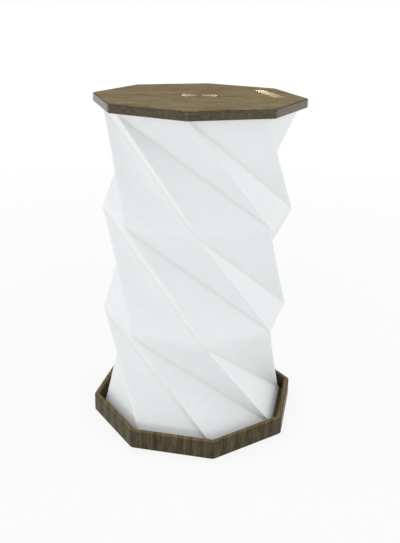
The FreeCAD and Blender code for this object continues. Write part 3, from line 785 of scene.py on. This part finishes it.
@dataclass(frozen=True)
class WireJacket(Finish):
    """Silicone-jacketed hook-up wire, one red and one black, drawn through a die.

    The eye gets a soft satin tube with faint drawing lines.
    """

    live: str = "#A62A22"
    earth: str = "#232323"
    powder: str = "#8A8A86"
    # Drawing lines are 0.2 mm apart and 3 mm long.
    lines: Pattern = Pattern((0.2, 3, 0.2), 2)
    matt: Pair = (0.4, 0.52)
    relief_mm = 0.01

    def feeds(self, add: AddNode) -> Feeds:
        """Lay red on one side of the cell's middle and black on the other, with lines.

        Args:
            add: Adds a node.

        Returns:
            What feeds the surface shader.
        """
        laid = turned(add, HEAD_DEG)
        lines = self.lines.lay(add, laid)
        across = add(Kind.XYZ, laid).outputs["X"]
        is_earth = add(Kind.MATH, across, 0.0, operation="GREATER_THAN")
        tone = add(Kind.MIX, is_earth, self.live, self.earth)
        dusted = add(Kind.SPREAD, lines, 0.4, 0.8, 0, 0.2)
        return {
            "Base Color": add(Kind.MIX, dusted, tone, self.powder),
            "Roughness": add(Kind.SPREAD, lines, *WHOLE, *self.matt),
            "IOR": 1.43,
            "Normal": lines,
        }


# The tray's board is cut with its rings on edge, so they show as upright streaks in front.
WALNUT_TRAY = OiledWalnut(
    "walnut_tray",
    grain_deg=FACING_DEG + 84,
    pith_mm=(260, 12),
    fibres=Pattern((26, 0.9, 11), 3),
    pores=Pattern((7, 0.5, 3), 0),
    film=0.36,
    early="#62573E",
    # Its faces that look up are lightened with painted light as well as paling.
    paled="#8A7A5C",
)
WALNUT_LID = OiledWalnut(
    "walnut_lid",
    grain_deg=FACING_DEG + 2,
    pith_mm=(35, 120),
    fibres=Pattern((24, 0.7, 0.8), 3),
    ring_show=0.12,
    # Edge rub and painted edge shade reach 1.1 mm in from each edge.
    rub_mm=1.1,
)
FOLDING_PAPER = FlashSpunPaper("paper_flash_spun")
COPPER_ROUND = BrushedCopper(
    "copper_turned", Brushing.ROUND, colour="#A08C70", dull="#7A6A52", grazing="#847C6C"
)
COPPER_STRAIGHT = BrushedCopper(
    "copper_satin",
    Brushing.STRAIGHT,
    colour="#AE9C80",
    dull="#A19073",
    grazing="#989080",
    lay_deg=HEAD_DEG + 90,
)
ZINC_STEEL = PlatedMetal("steel_zinc_plated", "#AEB2B4", "#8A9093", rough=0.36)
NICKEL = PlatedMetal("magnet_nickel_plated", "#C4C1BA", "#ACA9A1", rough=0.2)
TIN_STEEL = PlatedMetal("steel_tin_plated", "#BEC0C2", "#A3A6A8", rough=0.28)
GOLD_PLATE = PlatedMetal("pin_gold_plated", "#D8B25C", "#B98F3F", rough=0.22, bright="#E6CB86")
PAD_SILICONE = SiliconeRubber("silicone_die_cut")
STIFF_BOARD = GreyBoard("millboard_grey")
CUP_ABS = MouldedPlastic("abs_moulded", "#ECECEA", "#E2E2DF", rough=0.5)
OPAL_ACRYLIC = MouldedPlastic("acrylic_opal", "#F3F2EC", "#EBE9E1", rough=0.38, glow=0.4)
BLACK_NYLON = MouldedPlastic("nylon_black", "#26272A", "#1E1F21", rough=0.4)
CHIP_EPOXY = MouldedPlastic("epoxy_cast", "#2C2D2F", "#232426", rough=0.55)
DIODE_BODY = MouldedPlastic("diode_white_resin", "#EFEDE4", "#E6E3D8", rough=0.42)
PHOSPHOR_GEL = MouldedPlastic("gel_phosphor", "#E8C85A", "#DDB840", rough=0.25, glow=0.3)
MAIN_MASK = CircuitBoard("mask_green", mask="#1E4A35", track="#2C6247")
LIGHT_MASK = CircuitBoard("mask_white", mask="#E9EAE6", track="#D7D9D4")
CELL_FOIL = FoilPouch("foil_pouch")
HOOK_UP_WIRE = WireJacket("wire_silicone")


# ---- sub-assemblies ----


# Name, finish and slot of each piece.
Pieces = tuple[tuple[str, Finish, str], ...]


@dataclass
class SolidPieces:
    """A sub-assembly of solids that keep their shape."""

    pieces: Pieces

    def dress(self) -> None:
        """Put each solid's finish on it."""
        for name, finish, slot in self.pieces:
            finish.put_on(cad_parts[name], slot)
            LOG.info("%s: finished in %s", name, finish.name)


@dataclass
class WoodenTray(SolidPieces):
    """Octagonal tray that the lamp stands on, with its pads, catch disc and paper band."""

    pieces: Pieces = (
        ("tray", WALNUT_TRAY, "walnut"),
        ("foot_pads", PAD_SILICONE, "pad_silicone"),
        ("strike_disc", ZINC_STEEL, "zinc_steel"),
        ("lower_band", STIFF_BOARD, "board_stiffener"),
    )


@dataclass
class PleatedShade:
    """One folded sheet: three tiers of eight leaning ridges and valleys, glued up one ridge."""

    corner_radius: float = 59.7 * MM
    # Heights of the four fold levels.
    level_z: tuple[float, ...] = (5.2 * MM, 70.6 * MM, 137.0 * MM, 200.7 * MM)
    tier_lag_deg: float = 5.283
    sheet: float = 0.24 * MM
    # How far in the glued rims reach, and their inner rows as shares of the corner radius.
    flap_corner: float = 50.0 * MM
    flap_rows: tuple[float, ...] = (1.0, 0.985, 0.92)
    # How far each face sags in between its folds, and the least and most share of that.
    belly: float = 1.3 * MM
    belly_share: Pair = (0.75, 1.2)
    belly_seed: int = 8
    # Cells along each side of a face, and how much they crowd towards its folds.
    cells: int = 18
    crowding: float = 1.45
    # Passes that round the folds off, and how far a ridge or valley gives way in each.
    softening: int = 9
    fold_give: Pair = (0.55, 0.3)
    # How wide the painted highlight on a ridge and the painted shade in a valley are.
    mark_wide: Pair = (0.5 * MM, 0.7 * MM)
    # Width of the glued seam, its cells up and across, and how far it stays off the corners.
    seam_wide: float = 7.0 * MM
    seam_cells: tuple[int, int] = (40, 5)
    seam_inset: float = 0.02
    # How high the seam stands on the wall's middle, in sheets.
    seam_lift: float = 1.1
    # The cut sheet: eight sides and the seam, by three tiers and two flaps.
    flat_size: Pair = (372.5 * MM, 244.0 * MM)
    # Points closer than this are one point.
    same: float = 0.002 * MM

    def corner(self, level: int, place: int) -> np.ndarray:
        """Return the fold corner of this number on a fold level, from 0 at the bottom."""
        turn_deg = SIDE_DEG * (place + 0.5) - self.tier_lag_deg * level
        return round_point(self.corner_radius, turn_deg, self.level_z[level])

    def faces_of_tier(self, tier: int) -> list[tuple[list[np.ndarray], int, int]]:
        """Lay out the faces of one tier.

        Args:
            tier: Number of the tier, from 0 at the bottom.

        Returns:
            For each face its three corners, counter-clockwise from outside, then the
            number of the corner opposite its ridge and of the one opposite its valley.
        """
        faces = []
        for side in range(SIDES):
            high, high_next = (self.corner(tier + 1, side + k) for k in (0, 1))
            low_ridge, low_valley = (self.corner(tier, side + k) for k in (1, 2))
            faces.append(([high, low_ridge, low_valley], 2, 1))
            faces.append(([high, low_valley, high_next], 0, 2))
        return faces

    def cells_of_face(self) -> Shape:
        """Divide a face into cells that crowd towards its sides.

        Returns:
            The share that each point takes of each corner, and the small triangles.
        """
        n = self.cells
        steps = [(i, j) for i in range(n + 1) for j in range(n + 1 - i)]
        number = {step: at for at, step in enumerate(steps)}
        cells: Faces = []
        for i, j in steps:
            if i + j < n:
                cells.append((number[i, j], number[i + 1, j], number[i, j + 1]))
            if i + j < n - 1:
                cells.append((number[i + 1, j], number[i + 1, j + 1], number[i, j + 1]))
        crowded = (np.array([(i, j, n - i - j) for i, j in steps]) / n) ** self.crowding
        return crowded / crowded.sum(axis=1, keepdims=True), cells

    def folded(self) -> tuple[Shape, np.ndarray, np.ndarray]:
        """Fold the wall of the shade.

        Returns:
            The wall, how near each of its points is to a ridge and to a valley, and how
            freely each may give way when the folds are rounded off.
        """
        shares, cells = self.cells_of_face()
        # Times 27, the product of three equal shares is 1: the middle of a face sags most.
        bubble = 27 * shares.prod(axis=1, keepdims=True)
        draw = np.random.default_rng(self.belly_seed)
        sags = draw.uniform(*self.belly_share, (TIERS, 2 * SIDES))
        points: list[np.ndarray] = []
        # Points that share a place to the thousandth of a millimetre are one point.
        known: dict[tuple[int, ...], int] = {}
        marks: list[np.ndarray] = []
        give: list[float] = []
        faces: Faces = []
        for tier in range(TIERS):
            for number, (corners, *folds) in enumerate(self.faces_of_tier(tier)):
                a, b, c = corners
                square = np.cross(b - a, c - a)
                double_area = np.linalg.norm(square)
                sag = square / double_area * bubble * self.belly * sags[tier, number]
                places = shares @ np.array(corners)
                sides = np.linalg.norm([b - c, c - a, a - b], axis=1)
                offs = (shares * (double_area / sides))[:, folds]
                near = np.exp(-((offs / self.mark_wide) ** 2))
                local = []
                for place, off, mark in zip(places - sag, offs, near, strict=True):
                    at = known.setdefault(tuple(round(v * 1e6) for v in place), len(points))
                    if at == len(points):
                        points.append(place)
                        marks.append(mark)
                        give.append(1.0)
                    local.append(at)
                    marks[at] = np.maximum(marks[at], mark)
                    # Where a ridge and a valley meet, the ridge's give counts.
                    if 0 in off:
                        give[at] = self.fold_give[list(off).index(0)]
                faces.extend(tuple(local[k] for k in cell) for cell in cells)
        wall = np.array(points)
        low, *_, high = self.level_z
        at_end = (wall[:, 2] < low + self.same) | (wall[:, 2] > high - self.same)
        return (wall, faces), np.array(marks), np.where(at_end, 0.0, np.array(give))

    def softened(self, wall: Shape, free: np.ndarray) -> np.ndarray:
        """Round the folds off, as thick paper does.

        Args:
            wall: The wall.
            free: How freely each of its points moves.

        Returns:
            Its points, moved.
        """
        points, faces = wall
        corners = np.array(faces)
        pairs = np.vstack([corners[:, [0, 1]], corners[:, [1, 2]], corners[:, [2, 0]]])
        pairs = np.unique(np.sort(pairs, axis=1), axis=0)
        count = np.bincount(pairs.ravel(), minlength=len(points))[:, None]
        moved = points.copy()
        for _ in range(self.softening):
            total = np.zeros_like(moved)
            np.add.at(total, pairs[:, 0], moved[pairs[:, 1]])
            np.add.at(total, pairs[:, 1], moved[pairs[:, 0]])
            moved += 0.5 * free[:, None] * (total / count - moved)
        return moved

    def flap(self, level: int) -> Shape:
        """Make the rim that is turned in flat at one end and glued down.

        Args:
            level: Fold level of that end.

        Returns:
            The rim.
        """
        step = np.arange(self.cells) / self.cells
        near, far = step**self.crowding, (1 - step) ** self.crowding
        corners = [self.corner(level, side) for side in range(SIDES + 1)]
        ring = np.vstack([a + np.outer(near / (near + far), b - a) for a, b in pairwise(corners)])
        rows = (*self.flap_rows, self.flap_corner / self.corner_radius)
        points = np.vstack([ring * [row, row, 1.0] for row in rows])
        count = len(ring)
        faces: Faces = []
        for here in range(count * (len(rows) - 1)):
            after = here + 1 if (here + 1) % count else here + 1 - count
            quad = (here, after, after + count, here + count)
            faces.append(quad if level else quad[::-1])
        return points, faces

    def seam(self, surface: BVHTree) -> Shape:
        """Lay the glued seam tabs on the outside, one beside a ridge of each tier.

        Args:
            surface: The folded wall.

        Returns:
            The tabs.
        """
        points: list[Vector] = []
        faces: Faces = []
        along, across = self.seam_cells
        for tier in range(TIERS):
            # A ridge goes on one side further back in the tier above.
            (far, low, high), _, _ = self.faces_of_tier(tier)[2 * (TIERS - 1 - tier) + 1]
            reach = np.linalg.norm(np.cross(low - far, high - far)) / np.linalg.norm(high - low)
            first = len(points)
            for i in range(along + 1):
                rim = self.seam_inset + (1 - 2 * self.seam_inset) * i / along
                for j in range(across + 1):
                    share = self.seam_wide / reach * j / across
                    place = far * share + (1 - share) * (high * rim + low * (1 - rim))
                    spot, normal, _, _ = surface.find_nearest(Vector(place))
                    outward = normal if normal.dot(Vector((*spot[:2], 0))) > 0 else -normal
                    points.append(spot + outward * self.sheet * self.seam_lift)
            for i in range(along):
                for j in range(across):
                    here = first + i * (across + 1) + j
                    faces.append((here, here + across + 1, here + across + 2, here + 1))
        return np.array([tuple(p) for p in points]), faces

    def build(self) -> None:
        """Fold the sheet, dress it and set it between tray and lid."""
        (wall, faces), marks, free = self.folded()
        wall = self.softened((wall, faces), free)
        surface = BVHTree.FromPolygons([tuple(p) for p in wall], faces)
        for extra, extra_faces in (self.flap(0), self.flap(TIERS), self.seam(surface)):
            faces.extend(tuple(len(wall) + k for k in face) for face in extra_faces)
            wall = np.vstack([wall, extra])
        marks = np.vstack([marks, np.zeros((len(wall) - len(marks), 2))])
        shade = add_piece("pleated_shade", (wall, faces))
        for kind, name in enumerate(("ridge", "valley")):
            mark = shade.data.attributes.new(name, "FLOAT", "POINT")
            mark.data.foreach_set("value", marks[:, kind].astype(np.float32))
        weld = shade.modifiers.new("weld", "WELD")
        weld.merge_threshold = self.same
        skin = shade.modifiers.new("sheet", "SOLIDIFY")
        skin.thickness = self.sheet
        skin.offset = 0.0
        graph = bpy.context.evaluated_depsgraph_get()
        final = bpy.data.meshes.new_from_object(
            shade.evaluated_get(graph), preserve_all_data_layers=True, depsgraph=graph
        )
        shade.modifiers.clear()
        shade.data = final
        final.set_sharp_from_angle(angle=math.radians(SHARP_DEG))
        FOLDING_PAPER.put_on(shade, "folding_paper")
        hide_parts("shade")
        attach(shade, Body.BASE.value)
        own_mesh(shade)
        count = len(final.vertices)
        LOG.info("pleated_shade: %d points, finished in %s", count, FOLDING_PAPER.name)


@dataclass
class WoodenLid(SolidPieces):
    """Octagonal lid with its copper touch disc, bare copper plate and paper band."""

    pieces: Pieces = (
        ("lid", WALNUT_LID, "walnut"),
        ("touch_disc", COPPER_ROUND, "brushed_copper"),
        ("inlay_plate", COPPER_STRAIGHT, "satin_copper"),
        ("upper_band", STIFF_BOARD, "board_stiffener"),
    )


@dataclass
class LightUnit(SolidPieces):
    """Cup under the lid with its diffuser, boards, diodes, battery, socket and magnet."""

    pieces: Pieces = (
        ("lamp_cup", CUP_ABS, "moulded_abs"),
        ("diffuser", OPAL_ACRYLIC, "opal_acrylic"),
        ("cup_screws", ZINC_STEEL, "zinc_steel"),
        ("catch_magnet", NICKEL, "nickel_magnet"),
        ("control_board", MAIN_MASK, "circuit_board"),
        ("light_board", LIGHT_MASK, "circuit_board"),
        ("control_chips", CHIP_EPOXY, "chip_resin"),
        ("light_diodes", DIODE_BODY, "diode_resin"),
        ("battery", CELL_FOIL, "cell_foil"),
        ("battery_wires", HOOK_UP_WIRE, "wire_jacket"),
        ("link_pins", GOLD_PLATE, "gold_pin"),
        ("charging_socket", TIN_STEEL, "spring_steel"),
        ("socket_tongue", BLACK_NYLON, "contact_plastic"),
    )
    diode_count: int = 8
    diode_circle: float = 14.5 * MM
    diode_face_z: float = 196.5 * MM
    # Size of a gel, and the points round it and rows of faces up its dome.
    gel_radius: float = 1.05 * MM
    gel_rise: float = 0.18 * MM
    gel_points: int = 20
    gel_rows: int = 4

    def gel(self) -> Shape:
        """Shape the gel of one diode, with its dome hanging down.

        Returns:
            The gel, about its own middle.
        """
        n = self.gel_points
        rings = []
        for row in range(self.gel_rows):
            lean = math.radians(90 * row / self.gel_rows)
            wide, drop = self.gel_radius * math.cos(lean), -self.gel_rise * math.sin(lean)
            rings += [round_point(wide, 360 * k / n, drop) for k in range(n)]
        tip = len(rings)
        around = [(k, (k + 1) % n) for k in range(n)]
        faces: Faces = []
        for low in range(0, tip - n, n):
            faces += [(low + a, low + n + a, low + n + b, low + b) for a, b in around]
        faces += [(tip - n + a, tip, tip - n + b) for a, b in around]
        faces.append(tuple(range(n)))
        return np.array([*rings, (0, 0, -self.gel_rise)]), faces

    def build_gels(self) -> None:
        """Fill each diode with a domed phosphor gel."""
        gel, faces = self.gel()
        points: list[np.ndarray] = []
        all_faces: Faces = []
        for place in range(self.diode_count):
            turn_deg = HEAD_DEG + 360 * (place + 0.5) / self.diode_count
            points.append(gel + round_point(self.diode_circle, turn_deg, self.diode_face_z))
            all_faces += [tuple(place * len(gel) + k for k in face) for face in faces]
        gels = add_piece("diode_gels", (np.vstack(points), all_faces))
        gels.data.set_sharp_from_angle(angle=math.radians(SHARP_DEG))
        PHOSPHOR_GEL.put_on(gels, "diode_resin")
        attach(gels, Body.HEAD.value)
        LOG.info("diode_gels: %d domes, finished in %s", self.diode_count, PHOSPHOR_GEL.name)


# ---- studio ----


@dataclass(frozen=True)
class SoftLamp:
    """A soft box aimed at the lamp; places are right, away and up for the viewer."""

    name: str
    spot: Triple
    size: Pair
    watts: float
    aim_z: float = 0.1

    def light(self) -> bpy.types.Light:
        """Make the light of a soft box.

        Returns:
            The light, not yet switched on.
        """
        light = bpy.data.lights.new(self.name, "AREA")
        light.shape = "RECTANGLE"
        light.size, light.size_y = self.size
        return light

    def place(self) -> None:
        """Hang it up, turned to the lamp."""
        light = self.light()
        light.energy = self.watts
        lamp = bpy.data.objects.new(self.name, light)
        lamp.location = facing(*self.spot)
        aim = Vector((0, 0, self.aim_z)) - lamp.location
        lamp.rotation_euler = aim.to_track_quat("-Z", "Y").to_euler()
        bpy.context.scene.collection.objects.link(lamp)


@dataclass(frozen=True)
class SnootedLamp(SoftLamp):
    """A small lamp in a snoot, which keeps its beam on the lid."""

    beam_deg: float = 18.0

    def light(self) -> bpy.types.Light:
        """Make the light of a bulb in a snoot.

        Returns:
            The light, not yet switched on.
        """
        light = bpy.data.lights.new(self.name, "SPOT")
        light.shadow_soft_size = self.size[0] / 2
        light.spot_size = math.radians(self.beam_deg)
        light.spot_blend = 1.0
        return light


@dataclass
class Studio:
    """Pale floor, white surroundings, soft boxes all round and two snooted lamps behind."""

    sky_level: float = 0.72
    sky_colour: str = "#FAFCFE"
    floor_half: float = 3.0
    floor_paint: tuple[str, str] = ("#F2F2F0", "#F6F6F5")
    # The roller left marks about 25 mm wide.
    roller: Pattern = Pattern(25, 2)
    # Near the lamp the floor shows its shadow; further out it runs into the white.
    floor_white: float = 0.85
    shadow_reach: Pair = (0.2, 0.75)
    lamps: tuple[SoftLamp, ...] = (
        SoftLamp("soft_left", (-0.62, 0.06, 0.28), (0.35, 0.45), 0.7),
        SoftLamp("soft_right", (0.62, 0.06, 0.24), (0.35, 0.45), 0.5),
        SoftLamp("soft_high", (0.5, -0.4, 0.5), (0.3, 0.3), 0.5),
        SoftLamp("soft_low", (-0.3, -0.62, 0.04), (0.4, 0.06), 0.55),
        SnootedLamp("snooted_left", (-0.066, 0.7, 0.3), (0.016, 0.016), 4.1, 0.216),
        SnootedLamp("snooted_right", (0.066, 0.7, 0.3), (0.016, 0.016), 3.5, 0.216),
    )

    def seen_share(self, add: AddNode) -> Node:
        """Tell what the eye, metal or glass sees from the light that falls on things.

        Args:
            add: Adds a node.

        Returns:
            A node that gives 1 for what is seen and 0 for the rest.
        """
        ray = add(Kind.RAY).outputs
        seen = ray["Is Camera Ray"]
        for way in ("Is Glossy Ray", "Is Transmission Ray"):
            seen = add(Kind.MATH, seen, ray[way], operation="MAXIMUM")
        return seen

    def light_world(self) -> None:
        """Surround the lamp with plain white that lights it only softly."""
        world = bpy.data.worlds.new("studio_white")
        add = start_nodes(world)
        dim = add(Kind.SKY, self.sky_colour, self.sky_level)
        white = add(Kind.SKY, WHITE, 1.0)
        add(Kind.SKY_OUTPUT, add(Kind.MIX_SURFACE, self.seen_share(add), dim, white))
        bpy.context.scene.world = world

    def lay_floor(self) -> None:
        """Lay a pale painted floor that keeps the lamp's shadow."""
        material = bpy.data.materials.new("floor_paint")
        add = start_nodes(material)
        paint = add(Kind.MATT, add(Kind.MIX, self.roller.lay(add), *self.floor_paint))
        out = add(Kind.VECTOR, add(Kind.PLACE).outputs["Object"], operation="LENGTH")
        fade = add(Kind.SPREAD, out, *self.shadow_reach, self.floor_white)
        share = add(Kind.MATH, self.seen_share(add), fade, operation="MULTIPLY")
        white = add(Kind.SHINE, WHITE, 1.0)
        add(Kind.OUTPUT, add(Kind.MIX_SURFACE, share, paint, white))
        half = self.floor_half
        corners = np.array([(-half, -half, 0), (half, -half, 0), (half, half, 0), (-half, half, 0)])
        floor = add_piece("studio_floor", (corners, [(0, 1, 2, 3)]))
        floor.data.materials.append(material)

    def build(self) -> None:
        """Set up floor, surroundings and lamps."""
        self.light_world()
        self.lay_floor()
        for lamp in self.lamps:
            lamp.place()
        bpy.context.scene.view_settings.view_transform = "Standard"
        LOG.info("studio: floor, surroundings and %d lamps", len(self.lamps))


@dataclass(frozen=True)
class Viewpoint:
    """Camera a little above the lid, close to the lamp, looking slightly down."""

    distance: float = 430.425 * MM
    height: float = 261.73 * MM
    yaw_deg: float = 0.248
    pitch_deg: float = -17.186
    roll_deg: float = 1.118
    focal_px: float = 719.775
    horizon_px: float = 220.0
    image_px: tuple[int, int] = (400, 543)
    sensor_mm: float = 36.0
    # Nearest and farthest that the camera sees, in metres.
    clip: Pair = (0.01, 20.0)

    def build(self) -> None:
        """Place the camera and make it the scene's own."""
        turns = (self.yaw_deg, self.pitch_deg, self.roll_deg)
        yaw, pitch, roll = map(math.radians, turns)
        ahead = Vector(
            (math.sin(yaw) * math.cos(pitch), math.cos(yaw) * math.cos(pitch), math.sin(pitch))
        )
        level = ahead.cross(Vector((0, 0, 1))).normalized()
        above = level.cross(ahead)
        right = level * math.cos(roll) + above * math.sin(roll)
        up = above * math.cos(roll) - level * math.sin(roll)
        axes = Matrix([facing(*axis) for axis in (right, up, -ahead)]).transposed()
        longest = max(self.image_px)
        data = bpy.data.cameras.new("eye")
        data.sensor_width = self.sensor_mm
        data.lens = self.focal_px * self.sensor_mm / longest
        data.shift_y = (self.horizon_px - self.image_px[1] / 2) / longest
        data.clip_start, data.clip_end = self.clip
        eye = bpy.data.objects.new("eye", data)
        spot = facing(0, -self.distance, self.height)
        eye.matrix_world = Matrix.Translation(spot) @ axes.to_4x4()
        bpy.context.scene.collection.objects.link(eye)
        bpy.context.scene.camera = eye


def main() -> None:
    """Dress and build the lamp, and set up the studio."""
    logging.basicConfig(level=logging.INFO, format="%(name)s: %(message)s")
    Viewpoint().build()
    Studio().build()
    WoodenTray().dress()
    PleatedShade().build()
    WoodenLid().dress()
    unit = LightUnit()
    unit.dress()
    unit.build_gels()


if __name__ == "__main__":
    main()
